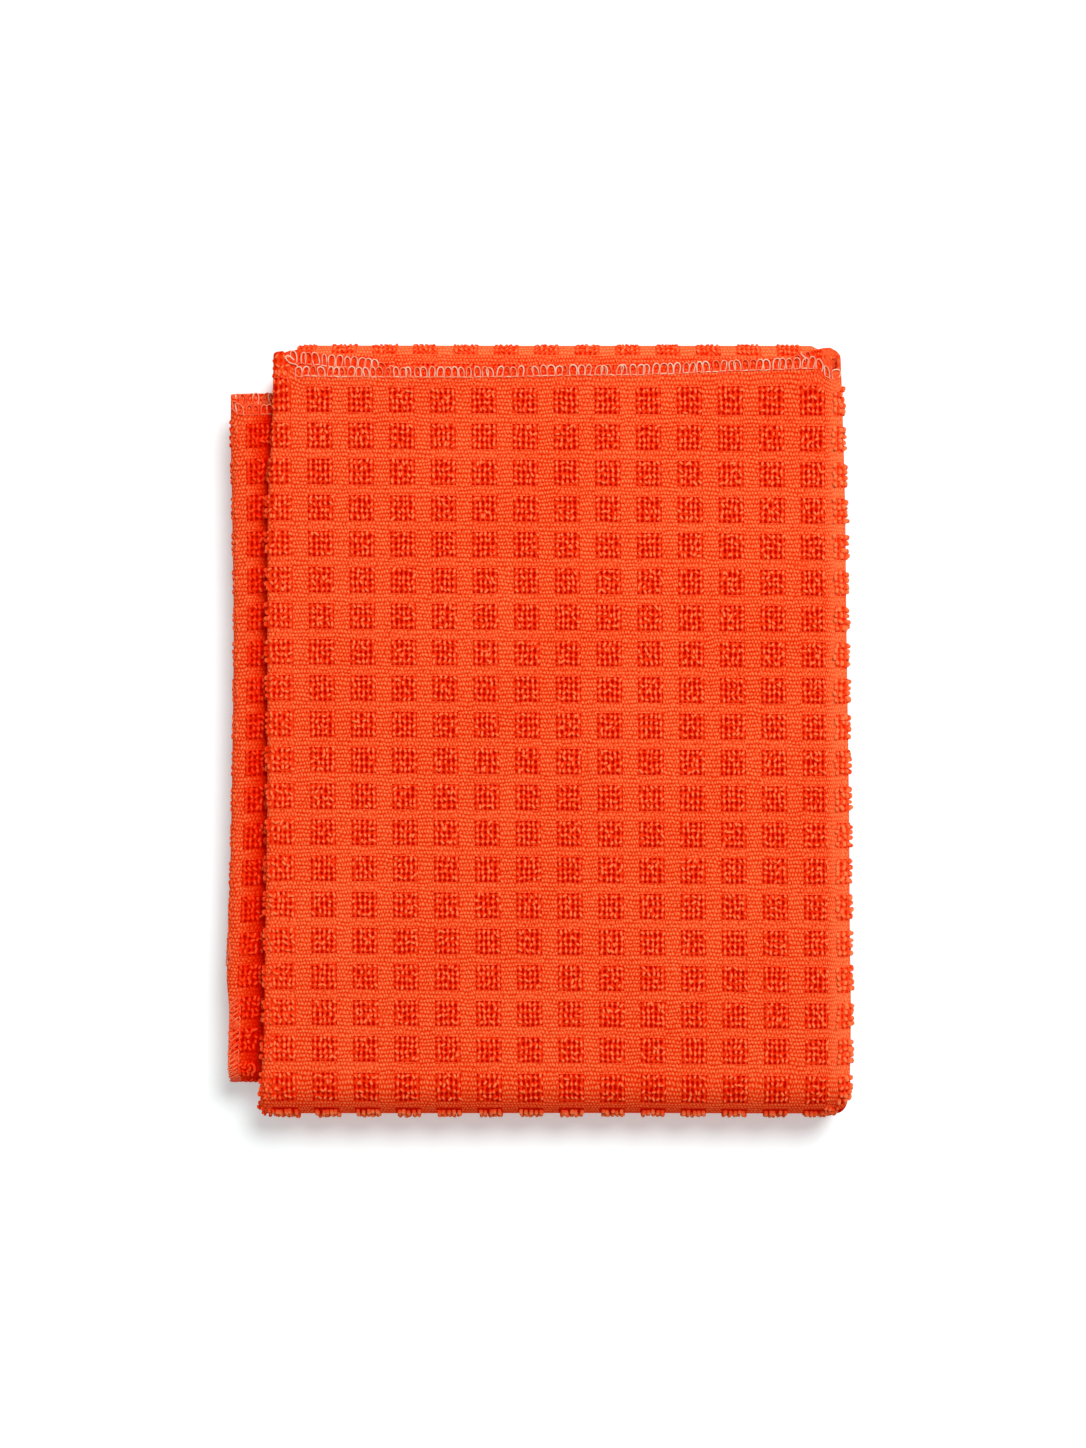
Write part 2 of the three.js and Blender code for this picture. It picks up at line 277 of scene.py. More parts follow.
def cloth_point(across, along):
    """Points of the cloth's middle, in metres, by places on the flat cloth in millimetres."""
    across, along = np.broadcast_arrays(np.asarray(across, float), np.asarray(along, float))
    share = np.clip(right_third_share(folds_at(along), across), 0, 1)
    strip = on_table(PANEL, "strip", along) * share
    hem = on_table(HEM, "slide", across) * (1 - eased(along, 0, HEM_FADES))
    place = along + on_table(PANEL, "all", along) + hem + strip
    x, depth = section(across, place)
    y, z, in_y, in_z = length_path(place)
    before, after, beside = SETBACK_REACH
    near_bend = eased(place, FLAP_END - before, FLAP_END)
    near_bend = near_bend * (1 - eased(place, BACK_START, BACK_START + after))
    strip_share = eased(across, TURN_STARTS - beside, TURN_STARTS)
    y = y + depth * in_y + STRIP_SETBACK * strip_share * near_bend
    z = z + depth * in_z
    wave = np.ones_like(z)
    for length_x, length_y, phase, size in WAVES:
        wave += size * np.sin(2 * math.pi * (x / length_x + y / length_y) + phase)
    z = SHEET / 2 + (z - SHEET / 2) * wave
    top = SHEET / 2 + FLAP_LEVEL * LAYER
    z = z + UNDERSIDE_LIFT * np.clip((top - z) / (top - SHEET / 2), 0, 1)
    return np.stack([x - PACKET_CENTRE[0], y - PACKET_CENTRE[1], z], axis=-1) * MM


def cloth_axes(across, along, step=0.05):
    """Unit directions on the cloth: across it, along it, and outwards from its outer face."""
    to_side = cloth_point(across + step, along) - cloth_point(across - step, along)
    to_end = cloth_point(across, along + step) - cloth_point(across, along - step)
    outwards = unit(np.cross(to_end, to_side))
    to_side = unit(to_side)
    return to_side, unit(np.cross(to_side, outwards)), outwards


def unit(vectors):
    """Vectors of length one."""
    return vectors / np.maximum(np.linalg.norm(vectors, axis=-1, keepdims=True), 1e-12)


def edge_at(along):
    """Place across the cloth of its cut edge on the strip's side."""
    place = along + on_table(PANEL, "all", along)
    place = place + on_table(PANEL, "strip", along)
    return CLOTH_WIDTH + on_table(SIDE, "spare", place)


def stretched(place, stretch):
    """How far the grid has been stretched at places along it."""
    amount, start, end = stretch
    return amount * eased(place, start, end)


def back_shift(along):
    """How far the grid has slid across and along on the way up the back."""
    across_shift, along_shift, start, end = BACK_SHIFT
    share = eased(along, start, end)
    return across_shift * share, along_shift * share


def strip_rows(across, along):
    """How far the strip's rows of squares have slid."""
    slide, growth = STRIP_ROWS
    return (slide + growth * along) * eased(across, *COLUMN_STRETCH[1:])


def lean_in(across, along):
    """Places on the grid of squares, by places on the flat cloth."""
    column = across - COLUMN_LEAN * (along - LEAN_ALONG)
    column = column - stretched(across, COLUMN_STRETCH) - stretched(across, FOLD_STRETCH)
    row = along - ROW_LEAN * (across - LEAN_ACROSS) - stretched(along, ROW_STRETCH)
    shift = back_shift(along)
    return column - shift[0], row - shift[1] - strip_rows(across, along)


def lean_out(column, row):
    """Places on the flat cloth, by places on the grid of squares."""
    across = column + COLUMN_LEAN * (row - LEAN_ALONG)
    across = across + stretched(column, COLUMN_STRETCH) + stretched(column, FOLD_STRETCH)
    along = row + ROW_LEAN * (column - LEAN_ACROSS) + stretched(row, ROW_STRETCH)
    shift = back_shift(row)
    return across + shift[0], along + shift[1] + strip_rows(column, row)


def a_length(name, description, millimetres):
    """A length that a user can change."""
    return bpy.props.FloatProperty(
        name=name, description=description, default=millimetres * MM, unit="LENGTH"
    )


def a_number(name, description, default, **settings):
    """A number that a user can change."""
    return bpy.props.FloatProperty(
        name=name, description=description, default=default, **settings
    )


def a_count(name, description, default):
    """A whole number that a user can change."""
    return bpy.props.IntProperty(name=name, description=description, default=default)


def a_colour(name, description, default):
    """A colour that a user can change."""
    return bpy.props.FloatVectorProperty(
        name=name, description=description, default=default, subtype="COLOR"
    )


class ClothSizes(bpy.types.PropertyGroup):
    """Colours of the cloth and its thread, with painted light on crests and tips and painted shade
    on sides, in gaps, at roots and in holes.
    """

    knit_thickness: a_length("Knit thickness", "Thickness of the knit between the squares", 1.3)
    course: a_length("Course", "Height of one row of stitches", 1.403)
    wale: a_length("Wale", "Width of one column of stitches", 1.438)
    column_pitch: a_length("Column pitch", "Distance between columns of raised squares", 14.385)
    row_pitch: a_length("Row pitch", "Distance between rows of raised squares", 12.63)
    hem: a_length("Hem", "Depth of the hem under its overlock thread", 3.4)
    square: a_length("Square", "Side of a raised square", 8.5)
    loops: a_count("Loops", "Loops side by side in a raised square", 5)
    loop_rows: a_count("Loop rows", "Loops one after another along a raised square", 4)
    loop_height: a_length("Loop height", "How far the terry loops stand above the knit", 1.05)
    yarn: a_length("Yarn radius", "Radius of the terry yarn", 0.5)
    loop_width: a_length("Loop width", "Width of a loop between its legs' centres", 1.1)
    disorder: a_length("Disorder", "How far a loop stands from its place, in the mean", 0.26)
    loop_lean: a_number("Loop lean", "How far a loop leans for its height, in the mean", 0.2)
    softness: a_number("Softness", "How evenly the yarn is lit from side to side", 0.8)
    loop_twist: a_number(
        "Loop twist", "Mean turn of a loop from the length of the cloth", 0.6, subtype="ANGLE"
    )


class ClothColours(bpy.types.PropertyGroup):
    """Colours of the cloth and its thread."""

    # Painted highlight on the knit's crests and the loops' tips
    light: a_colour("Light yarn", "Yarn on crests and the loops' tips", (0.96, 0.2, 0.066))
    body: a_colour("Yarn", "The cloth's main colour", (0.91, 0.08, 0.018))
    # Painted shade on the sides of the knit's stitches
    painted_side_shade: a_colour("Warm yarn", "Yarn on the sides of stitches and loops", (0.80, 0.027, 0.0015))
    # Painted shade between the knit's stitches, darker still
    deep: a_colour("Deep yarn", "Yarn between the knit's stitches", (0.68, 0.005, 0.0003))
    # Painted shade on the loops' sides
    side: a_colour("Loop sides", "Yarn on the sides of the loops", (0.94, 0.026, 0.0015))
    # Painted shade at the loops' roots
    root: a_colour("Loop roots", "Yarn at the roots of the loops", (0.92, 0.004, 0.0002))
    # Painted shade in the holes between the loops
    painted_hole_shade: a_colour("Hollow", "Ground between the loops", (0.50, 0.002, 0.0001))
    thread: a_colour("Thread", "Pale overlock thread", (0.95, 0.55, 0.39))
    dyed_thread: a_colour("Dyed thread", "Thread near the cloth's colour", (0.95, 0.19, 0.07))


class HemSizes(bpy.types.PropertyGroup):
    """Sizes of the overlocked hem."""

    stitch: a_length("Stitch", "Length of one overlock stitch", 2.6)
    bite: a_length("Bite", "Distance from the cut edge to the needle line", 3.5)
    radius: a_length("Thread radius", "Radius of the overlock thread", 0.26)


class StageSizes(bpy.types.PropertyGroup):
    """Camera, floor and light."""

    pixel: a_length("Pixel", "Size of one pixel of the picture on the cloth's top", 0.35)
    picture_height: a_count("Picture height", "Height of the picture in pixels", 1448)
    camera_height: a_length("Camera height", "Height of the camera above the cloth's top", 700)
    floor_size: a_length("Floor size", "Side of the floor", 6000)
    floor_colour: a_colour("Floor", "Colour of the floor", (0.86, 0.91, 0.91))
    floor_glow: a_number("Floor glow", "Light that comes through the floor", 0.24)
    floor_glow_colour: a_colour(
        "Floor glow colour", "Colour of the light that comes through the floor", (0.93, 1.0, 1.0)
    )
    sky: a_number("Sky", "Strength of the even light from all around", 0.42)
    key: a_number("Key", "Power of the soft light from above right", 58.0, unit="POWER")
    key_size: a_length("Key size", "Width of the soft light", 1200)
    key_place: bpy.props.FloatVectorProperty(
        name="Key place",
        description="Place of the soft light, from the middle of the cloth",
        default=(0.70, 1.30, 2.2),
        unit="LENGTH",
    )


class Socket:
    """A shader socket that adds Math nodes when it is used in sums."""

    def __init__(self, sheet, socket):
        self.sheet = sheet
        self.socket = socket

    def _math(self, operation, *values):
        return self.sheet.node("ShaderNodeMath", {"operation": operation}, values)

    def __add__(self, other):
        return self._math("ADD", self, other)

    __radd__ = __add__

    def __mul__(self, other):
        return self._math("MULTIPLY", self, other)

    __rmul__ = __mul__

    def __sub__(self, other):
        return self._math("SUBTRACT", self, other)

    def __rsub__(self, other):
        return self._math("SUBTRACT", other, self)

    def __truediv__(self, other):
        return self._math("DIVIDE", self, other)

    def __gt__(self, other):
        return self._math("GREATER_THAN", self, other)

    def sine(self):
        return self._math("SINE", self)

    def cosine(self):
        return self._math("COSINE", self)

    def absolute(self):
        return self._math("ABSOLUTE", self)

    def least(self, other):
        return self._math("MINIMUM", self, other)

    def most(self, other):
        return self._math("MAXIMUM", self, other)

    def fraction(self):
        return self._math("FRACT", self)


class MaterialSheet:
    """A material's nodes, with one way to add any of them."""

    def __init__(self, name):
        self.material = bpy.data.materials.new(name)
        self.material.use_nodes = True
        self.tree = self.material.node_tree
        self.shader = self.tree.nodes["Principled BSDF"]

    def node(self, kind, settings=None, values=(), output=0):
        """Add a node: its settings first, then its sockets' values or links, by place or name."""
        made = self.tree.nodes.new(kind)
        for name, value in (settings or {}).items():
            if name == "stops":
                self._set_stops(made.color_ramp, value)
            else:
                setattr(made, name, value)
        named = values.items() if isinstance(values, dict) else enumerate(values)
        for name, value in named:
            self._give(made.inputs[name], value)
        return Socket(self, made.outputs[output])

    def _set_stops(self, ramp, stops):
        while len(ramp.elements) < len(stops):
            ramp.elements.new(0.5)
        for element, (position, colour) in zip(ramp.elements, stops):
            element.position = position
            element.color = (*colour, 1)

    def _give(self, socket, value):
        if isinstance(value, Socket):
            self.tree.links.new(value.socket, socket)
        else:
            socket.default_value = value

    def shade(self, **values):
        """Set the shader's own sockets by name."""
        for name, value in values.items():
            self._give(self.shader.inputs[name.replace("_", " ")], value)

    def terry(self, colour, bump):
        """Give the shader the look of matt terry yarn."""
        self.shade(Base_Color=colour, Roughness=0.95, Normal=bump, Specular_IOR_Level=0.0)

    def flat_place(self):
        """The piece's own map, whole and as its two parts."""
        place = self.node("ShaderNodeTexCoord", output="UV")
        across = self.node("ShaderNodeSeparateXYZ", values=(place,))
        along = Socket(self, across.socket.node.outputs["Y"])
        return place, across, along

    def noise(self, place, scale, detail=1.0):
        """A noise that varies about zero."""
        values = {"Vector": place, "Scale": scale, "Detail": detail}
        return self.node("ShaderNodeTexNoise", {}, values) - 0.5

    def bump(self, height, strength, depth):
        """A bump from a height, with its depth in millimetres."""
        values = {"Strength": strength, "Distance": depth * MM, "Height": height}
        return self.node("ShaderNodeBump", {}, values)

    def ramp(self, tone, places, colours):
        """Colours by tone, from places on a ramp."""
        stops = list(zip(places, colours))
        return self.node("ShaderNodeValToRGB", {"stops": stops}, (tone,))

    def number_mix(self, share, first, second):
        """A mix of two numbers."""
        return self.node("ShaderNodeMix", {"data_type": "FLOAT"}, {0: share, 2: first, 3: second})

    def mix(self, share, first, second):
        """A mix of two colours."""
        values = {0: share, 6: (*first, 1), 7: (*second, 1)}
        return self.node("ShaderNodeMix", {"data_type": "RGBA"}, values, output=2)


# The ground under a raised square, painted in shade: how far it reaches past it, and how far
# it lies from the light, as the square's painted shadow
SHADED_GROUND_RIM = 0.25
SHADOW_SHIFT = 0.2

# Noises on the knit, each as a scale and a detail: one that bends the stitches, one as fine
# as the yarn, and one that shades the cloth in patches
NOISES = ((130, 2.0), (1200, 1.0), (28, 2.0))

# How far the first two noises bend the columns and the rows of stitches, beads to a stitch,
# and the knit's relief as shares of ribs, beads and fine noise on a level: first between the
# squares of a column, then between the columns; with its patches and its least
ACROSS_BENDS = (10.0, 4.0)
ALONG_BENDS = (10.0, 3.0)
BEADS = 1.3
RELIEFS = ((0.26, 0.28, 1.0, 0.42), (0.46, 0.36, 0.7, 0.32))
PATCHES = 0.2
LEAST_RELIEF = 0.2

# The painted shade of the holes between the loops of a square: how far their rows stray, the
# rows' level and share, and the shaded tone of the ground and how much darker the holes are
HOLE_STRAY = 14.0
HOLE_ROWS = (0.6, 0.45)
PILE_GROUND_SHADE = 0.43
HOLE_SHADE_DEPTH = 0.88

# Where the holes' painted shade is lighter, and by how much: past a distance from a square's
# middle, on the corners by the hem, behind the bottom bend, and in the squares up to the first
# column's end
OUTER_HOLES = (3.6, 0.5)
CORNER_HOLES = 0.7
BACK_HOLES = 0.2
FIRST_HOLES = (181.0, 0.4)

# The corners by the hem that carry pile as well: up to one place, and between two
LEFT_CORNER = 179.5
RIGHT_CORNER = (376.0, 384.5)

# The left fold's shade: its start and end at the hem, how fast they move along the fold, the
# stretch of the fold that has it, and its depth
FOLD_SHADE = (172.0, 172.8)
FOLD_GROWTH = 0.0138
FOLD_LENGTH = (12.0, 243.0)
FOLD_DEPTH = 0.8

# The shade on the strip beside the middle third: its start and end at the hem, how fast they
# move along the strip, its depth, and the place that it stays beyond
STRIP_SHADE = (574.8, 581.9)
STRIP_GROWTH = 0.006
STRIP_DEPTH = 0.75
FAR_FROM_STRIP = 500.0

# The bottom bend's shade and the painted shadow line above its pile, each with its depth, and
# the hem's shade
BEND_SHADE = (246.0, 256.0)
BEND_DEPTH = 0.15
BEND_SHADOW_LINE = (259.6, 261.2)
BEND_SHADOW_DEPTH = 0.65
HEM_DEPTH = 0.3

# Where the cloth has painted light, and by how much: at the right fold, growing from its start
# to its full and then up to an end across the cloth, and at the top bend, between two places
# along it
PAINTED_LIGHT_FOLD = (367.0, 371.0, 385.0)
PAINTED_LIGHT_BEND = (540.0, 560.0)
PAINTED_LIGHT = 0.22

# Places on the tone ramps of the knit and of the pile, from painted shade to painted light
KNIT_STOPS = (0.0, 0.12, 0.3, 0.55, 0.95)
PILE_STOPS = (0.1, 0.35, 0.65, 0.92)

# The terry yarn's twist, and how much the loops and the twist differ in tone
YARN_TWIST = 2200
LOOP_TONES = 0.22
TWIST_TONES = 0.3

# The thread's twist, the length of its colours, and the second one: how far below the middle
# of its noise it starts, and how sharply
THREAD_TWIST = 2600
THREAD_STRETCH = 260
SECOND_COLOUR = (0.08, 4.0)

# Bumps, each as a strength and a depth in millimetres
KNIT_BUMP = (0.7, 0.25)
YARN_BUMP = (0.4, 0.06)
THREAD_BUMP = (0.3, 0.04)


def lies_between(place, start, end):
    """One where places are between two in millimetres, and zero elsewhere."""
    return (place > start * MM) * (1 - (place > end * MM))


def grown(place, start, end):
    """Share of the way between two places in millimetres, held at its ends."""
    return ((place - start * MM) / ((end - start) * MM)).least(1.0).most(0.0)


def grid_place(place, first, pitch):
    """Places on the grid of squares: counted along it, and measured from the nearest middle."""
    counted = (place - (first * MM - pitch / 2)) / pitch
    return counted, (counted.fraction() - 0.5) * pitch


def knit_relief(sheet, sizes, across, along, beside, noises):
    """Height of the knit: ribs and beads, stronger between the columns of squares; as a tone it
    gives painted light on the crests and painted shade between the stitches.
    """
    coarse, fine, patchy = noises
    wale = across * (2 * math.pi / sizes.wale) + coarse * ACROSS_BENDS[0] + fine * ACROSS_BENDS[1]
    course = along * (2 * math.pi / sizes.course) + coarse * ALONG_BENDS[0] + fine * ALONG_BENDS[1]
    ribs = 0.5 - course.cosine() * 0.5
    beads = (wale * BEADS).sine() * (course * 0.5).sine()
    reliefs = [
        ribs * rib + beads * bead + fine * grain + level for rib, bead, grain, level in RELIEFS
    ]
    relief = sheet.number_mix(beside, *reliefs)
    return (relief + patchy * PATCHES).least(1.0).most(LEAST_RELIEF)


def loop_hole_shade(sizes, across, along, from_column, from_row, stray, corner):
    """Depth of the painted shade in the holes between the loops of the squares."""
    by_loops = (from_column * (2 * math.pi * sizes.loops / sizes.square)).cosine()
    by_rows = (from_row * (2 * math.pi * sizes.loop_rows / sizes.square) + stray).cosine()
    outer = (from_column.absolute() > OUTER_HOLES[0] * MM) * OUTER_HOLES[1]
    back = (along > BACK_START * MM) * BACK_HOLES
    first = (1 - (across > FIRST_HOLES[0] * MM)) * FIRST_HOLES[1]
    shallow = (corner * CORNER_HOLES).most(back).most(first)
    level, share = HOLE_ROWS
    return (0.5 - by_loops * 0.5) * (level + by_rows * share) * (1 - outer) * (1 - shallow)


def fold_shade(across, along):
    """Depth of the shade at the left fold."""
    short = 1 - grown(across + along * FOLD_GROWTH, *FOLD_SHADE)
    return short.least(lies_between(along, *FOLD_LENGTH) * FOLD_DEPTH)


def strip_shade(across, along):
    """Depth of the shade on the strip beside the middle third."""
    short = 1 - grown(across - along * STRIP_GROWTH, *STRIP_SHADE)
    return short * (across > FAR_FROM_STRIP * MM) * STRIP_DEPTH


def knit_material(name, sizes, colours):
    """Fine knit with holes on its squares, painted in shade there and at its hem, folds, bend and
    strip, with painted light on its crests, right fold and top bend.
    """
    sheet = MaterialSheet(name)
    place, across, along = sheet.flat_place()
    noises = [sheet.noise(place, *noise) for noise in NOISES]
    _, from_column = grid_place(across, FIRST_COLUMN, sizes.column_pitch)
    row, from_row = grid_place(along, FIRST_ROW, sizes.row_pitch)
    ground = sizes.square / 2 + SHADED_GROUND_RIM * MM
    beside = (from_column + SHADOW_SHIFT * MM).absolute() > ground
    between_rows = (from_row - SHADOW_SHIFT * MM).absolute() > ground
    in_rows = row > 0.0
    corners = (1 - (across > LEFT_CORNER * MM)) + lies_between(across, *RIGHT_CORNER)
    corner = corners * (1 - in_rows)
    under_pile = ((1 - beside) * (1 - between_rows) * in_rows).most(corner)
    stray = noises[0] * HOLE_STRAY
    holes = loop_hole_shade(sizes, across, along, from_column, from_row, stray, corner)
    relief = knit_relief(sheet, sizes, across, along, beside, noises)
    # Painted light and shade: the relief's crests lit and its gaps shaded, and under the pile a
    # shaded ground with darker holes
    tone = sheet.number_mix(under_pile, relief, PILE_GROUND_SHADE - holes * HOLE_SHADE_DEPTH).most(0.0)
    bend = grown(along, *BEND_SHADE) * (1 - (along > BACK_START * MM))
    clear_of_hem = (along > sizes.hem).most(across > FAR_FROM_STRIP * MM).most(corner)
    shades = (
        lies_between(along, *BEND_SHADOW_LINE) * (1 - beside) * BEND_SHADOW_DEPTH,
        (1 - clear_of_hem) * HEM_DEPTH,
        strip_shade(across, along),
        fold_shade(across, along),
        bend * BEND_DEPTH,
    )
    for shade in shades:
        tone = tone * (1 - shade)
    # Painted light on the right fold and along the top bend
    start, full, end = PAINTED_LIGHT_FOLD
    painted_light_fold = grown(across, start, full) * (1 - (across > end * MM)) * (1 - bend)
    tone = tone + (painted_light_fold + lies_between(along, *PAINTED_LIGHT_BEND)) * PAINTED_LIGHT
    # Ramp from painted shade in holes and gaps, through the cloth's own colour, to painted light
    # on crests
    tones = colours.painted_hole_shade, colours.deep, colours.painted_side_shade, colours.body, colours.light
    sheet.terry(sheet.ramp(tone, KNIT_STOPS, tones), sheet.bump(relief, *KNIT_BUMP))
    return sheet.material


def pile_material(colours):
    """Terry yarn with painted shade at the roots and painted light at the tips, each loop a little
    different.
    """
    sheet = MaterialSheet("terry loops")
    _, loop, height = sheet.flat_place()
    twist = sheet.noise(sheet.node("ShaderNodeTexCoord", output="Object"), YARN_TWIST)
    tone = (height + (loop - 0.5) * LOOP_TONES + twist * TWIST_TONES).least(1.0).most(0.0)
    # Painted shade at the roots and sides, the cloth's own colour, then painted light at the tips
    tones = colours.root, colours.side, colours.body, colours.light
    sheet.terry(sheet.ramp(tone, PILE_STOPS, tones), sheet.bump(twist, *YARN_BUMP))
    return sheet.material


def thread_material(name, first, second):
    """Smooth thread of one colour that turns here and there to another."""
    sheet = MaterialSheet(name)
    strand = sheet.node("ShaderNodeTexCoord", output="Object")
    level, sharpness = SECOND_COLOUR
    share = (sheet.noise(strand, THREAD_STRETCH) + level) * sharpness
    colour = sheet.mix(share.least(1.0).most(0.0), first, second)
    bump = sheet.bump(sheet.noise(strand, THREAD_TWIST), *THREAD_BUMP)
    sheet.shade(Base_Color=colour, Roughness=0.7, Normal=bump, Specular_IOR_Level=0.3)
    return sheet.material


# Shares of the surface's steps at which each stretch across and along the cloth ends
ACROSS_SHARES = (0.0, 0.19, 0.26, 0.62, 0.71, 0.90, 1.0)
ALONG_SHARES = (0.0, 0.40, 0.52, 0.73, 0.85, 1.0)
STEPS_ACROSS = 156
STEPS_ALONG = 156


def knit_sheet(name, sizes, material):
    """The folded cloth: a flat grid laid on its folds, then given its thickness."""
    grid = bmesh.new()
    layer = grid.loops.layers.uv.new("UVMap")
    bmesh.ops.create_grid(grid, x_segments=STEPS_ACROSS, y_segments=STEPS_ALONG, size=0.5)
    bmesh.ops.reverse_faces(grid, faces=grid.faces)
    shares = np.array([vertex.co[:2] for vertex in grid.verts]) + 0.5
    stretches = (0, FLAP_END, BACK_START, BACK_END, INNER_START, CLOTH_LENGTH)
    along = np.interp(shares[:, 1], ALONG_SHARES, stretches)
    folds = folds_at(along + on_table(PANEL, "all", along))
    across = np.zeros_like(along)
    turn_starts = np.full_like(along, TURN_STARTS)
    ends = (across, *(folds[fold] for fold in FOLD_NAMES), turn_starts, edge_at(along))
    for i in range(len(ACROSS_SHARES) - 1):
        part = (shares[:, 0] - ACROSS_SHARES[i]) / (ACROSS_SHARES[i + 1] - ACROSS_SHARES[i])
        inside = (part >= 0) & (part <= 1)
        across = np.where(inside, ends[i] + part * (ends[i + 1] - ends[i]), across)
    flat = np.stack(lean_in(across, along), axis=-1) * MM
    for vertex, point in zip(grid.verts, cloth_point(across, along)):
        vertex.co = point
    for face in grid.faces:
        face.smooth = True
        for corner in face.loops:
            corner[layer].uv = flat[corner.vert.index]
    mesh = bpy.data.meshes.new(name)
    grid.to_mesh(mesh)
    grid.free()
    mesh.materials.append(material)
    made = added(name, mesh)
    solid = made.modifiers.new("Thickness", "SOLIDIFY")
    solid.thickness = sizes.knit_thickness
    solid.offset = 0
    solid.use_quality_normals = True
    return made


def added(name, data):
    """A new object in the scene that moves with the cloth."""
    made = bpy.data.objects.new(name, data)
    bpy.context.scene.collection.objects.link(made)
    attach(made, "root")
    return made


# How deep the loops' roots stand in the knit, how far they stay from its cut edge, the
# power that flattens their tops, and how much of their painted light is from facing upwards
ROOT_DEPTH = 0.3
EDGE_GAP = 0.9
LOOP_FLATNESS = 0.5
UPWARD_LIGHT_SHARE = 0.6

# How far the loops differ in height and width; and where they are lit from above, the level
# of this light, how it grows as they face upwards, and how much softer they are
HEIGHT_SPREAD = 0.1
WIDTH_SPREAD = 0.15
LIGHT_LEVEL = 0.6
LIGHT_GROWTH = 2.0
LIT_SOFTNESS = 2.0


def loop_shape(sizes, thick, sides, steps):
    """One terry loop: a ring of yarn spun over half a turn, as points, triangles and tones of
    painted light, higher where the yarn is higher and faces upwards.
    """
    yarn = sizes.yarn * thick
    half_width = sizes.loop_width / 2 + sizes.yarn - yarn
    shape = bmesh.new()
    ring = bmesh.ops.create_circle(shape, cap_ends=True, segments=sides, radius=yarn)
    bmesh.ops.rotate(shape, verts=ring["verts"], matrix=Matrix.Rotation(math.pi, 3, "Z"))
    bmesh.ops.translate(shape, verts=ring["verts"], vec=(0, half_width, 0))
    half_turn = {"axis": (1, 0, 0), "angle": math.pi, "steps": steps, "cent": (0, 0, 0)}
    bmesh.ops.spin(shape, geom=shape.faces[:], **half_turn)
    bmesh.ops.recalc_face_normals(shape, faces=shape.faces)
    bmesh.ops.triangulate(shape, faces=shape.faces)
    tallest = max(vertex.co.z for vertex in shape.verts)
    for vertex in shape.verts:
        rise = max(vertex.co.z / tallest, 0) ** LOOP_FLATNESS
        vertex.co.z = rise * (sizes.loop_height + ROOT_DEPTH * MM)
    shape.normal_update()
    points = np.array([vertex.co[:] for vertex in shape.verts])
    upwards = np.array([vertex.normal.z for vertex in shape.verts])
    height = points[:, 2] / points[:, 2].max()
    tone = height * (1 - UPWARD_LIGHT_SHARE) + np.maximum(upwards, 0) * UPWARD_LIGHT_SHARE
    triangles = np.array([[vertex.index for vertex in face.verts] for face in shape.faces])
    shape.free()
    return points, triangles, tone


def shared(count):
    """Middles of a length's equal shares, measured from its own middle."""
    return (np.arange(count) + 0.5) / count - 0.5


def squares_in(span):
    """Numbers of the squares in a span: one alone, or from a first up to an end."""
    return np.array(span) if len(span) == 1 else np.arange(*span)


def loop_places(sizes, columns, rows, rng):
    """Places on the flat cloth of the loops of a block of squares, with a little disorder."""
    column = FIRST_COLUMN + squares_in(columns) * sizes.column_pitch / MM
    row = FIRST_ROW + squares_in(rows) * sizes.row_pitch / MM
    side_by_side = column[:, None] + shared(sizes.loops) * sizes.square / MM
    one_after_another = row[:, None] + shared(sizes.loop_rows) * sizes.square / MM
    across, along = np.meshgrid(side_by_side.ravel(), one_after_another.ravel())
    across = across.ravel() + rng.normal(0, sizes.disorder / MM, across.size)
    along = along.ravel() + rng.normal(0, sizes.disorder / MM, along.size)
    across, along = lean_out(across, along)
    on_cloth = (across < edge_at(along) - EDGE_GAP) & (along > EDGE_GAP)
    return across[on_cloth], along[on_cloth]


def lay_loops(name, sizes, places, shape, rng, material, face, tall, messy, tones, lit):
    """A joined mesh of loops that stand on one face of the cloth, outer 1 or inner -1."""
    across, along = places
    points, triangles, tone = shape
    count = len(across)
    side, end, out = cloth_axes(across, along)
    out = out * face
    roots = cloth_point(across, along) + out * (sizes.knit_thickness / 2 - ROOT_DEPTH * MM)
    lean = rng.normal(0, sizes.loop_lean * messy, (2, count, 1))
    twist = rng.normal(0, sizes.loop_twist * messy, (count, 1))
    height = rng.normal(tall, HEIGHT_SPREAD * tall, (count, 1, 1))
    width = rng.normal(1, WIDTH_SPREAD, (count, 1, 1))
    up = unit(out + side * lean[0] + end * lean[1])
    beside = unit(np.cross(end * np.cos(twist) + side * np.sin(twist), up))
    ahead = np.cross(up, beside)
    laid = (
        roots[:, None]
        + beside[:, None] * points[:, 0:1]
        + ahead[:, None] * points[:, 1:2] * width
        + up[:, None] * points[:, 2:3] * height
    )
    laid[..., 2] = np.maximum(laid[..., 2], LOWEST * MM)
    faces = triangles + (np.arange(count) * len(points))[:, None, None]
    uvs = np.zeros((count, len(points), 2))
    uvs[..., 0] = rng.uniform(0, 1, (count, 1))
    # Each loop's tone runs from the block's least to its most: painted shade at the roots, painted
    # light at the tips
    uvs[..., 1] = tones[0] + (tones[1] - tones[0]) * tone
    flat = [block.reshape(-1, block.shape[-1]) for block in (laid, faces, uvs)]
    made = added(name, joined_mesh(name, *flat, material))
    from_above = np.clip(LIGHT_LEVEL + LIGHT_GROWTH * out[:, 2:], 0, 1) * (0, 0, lit)
    lights = np.repeat(unit(out + from_above), len(points), axis=0)
    soften(made.data, lights, sizes.softness * (1 + LIT_SOFTNESS * lit))
    return made


def soften(mesh, out, softness):
    """Turn a mesh's normals towards the way out of the cloth, as light goes through yarn."""
    own = np.zeros(len(mesh.vertices) * 3)
    mesh.vertex_normals.foreach_get("vector", own)
    mesh.normals_split_custom_set_from_vertices(unit(own.reshape(-1, 3) + out * softness))


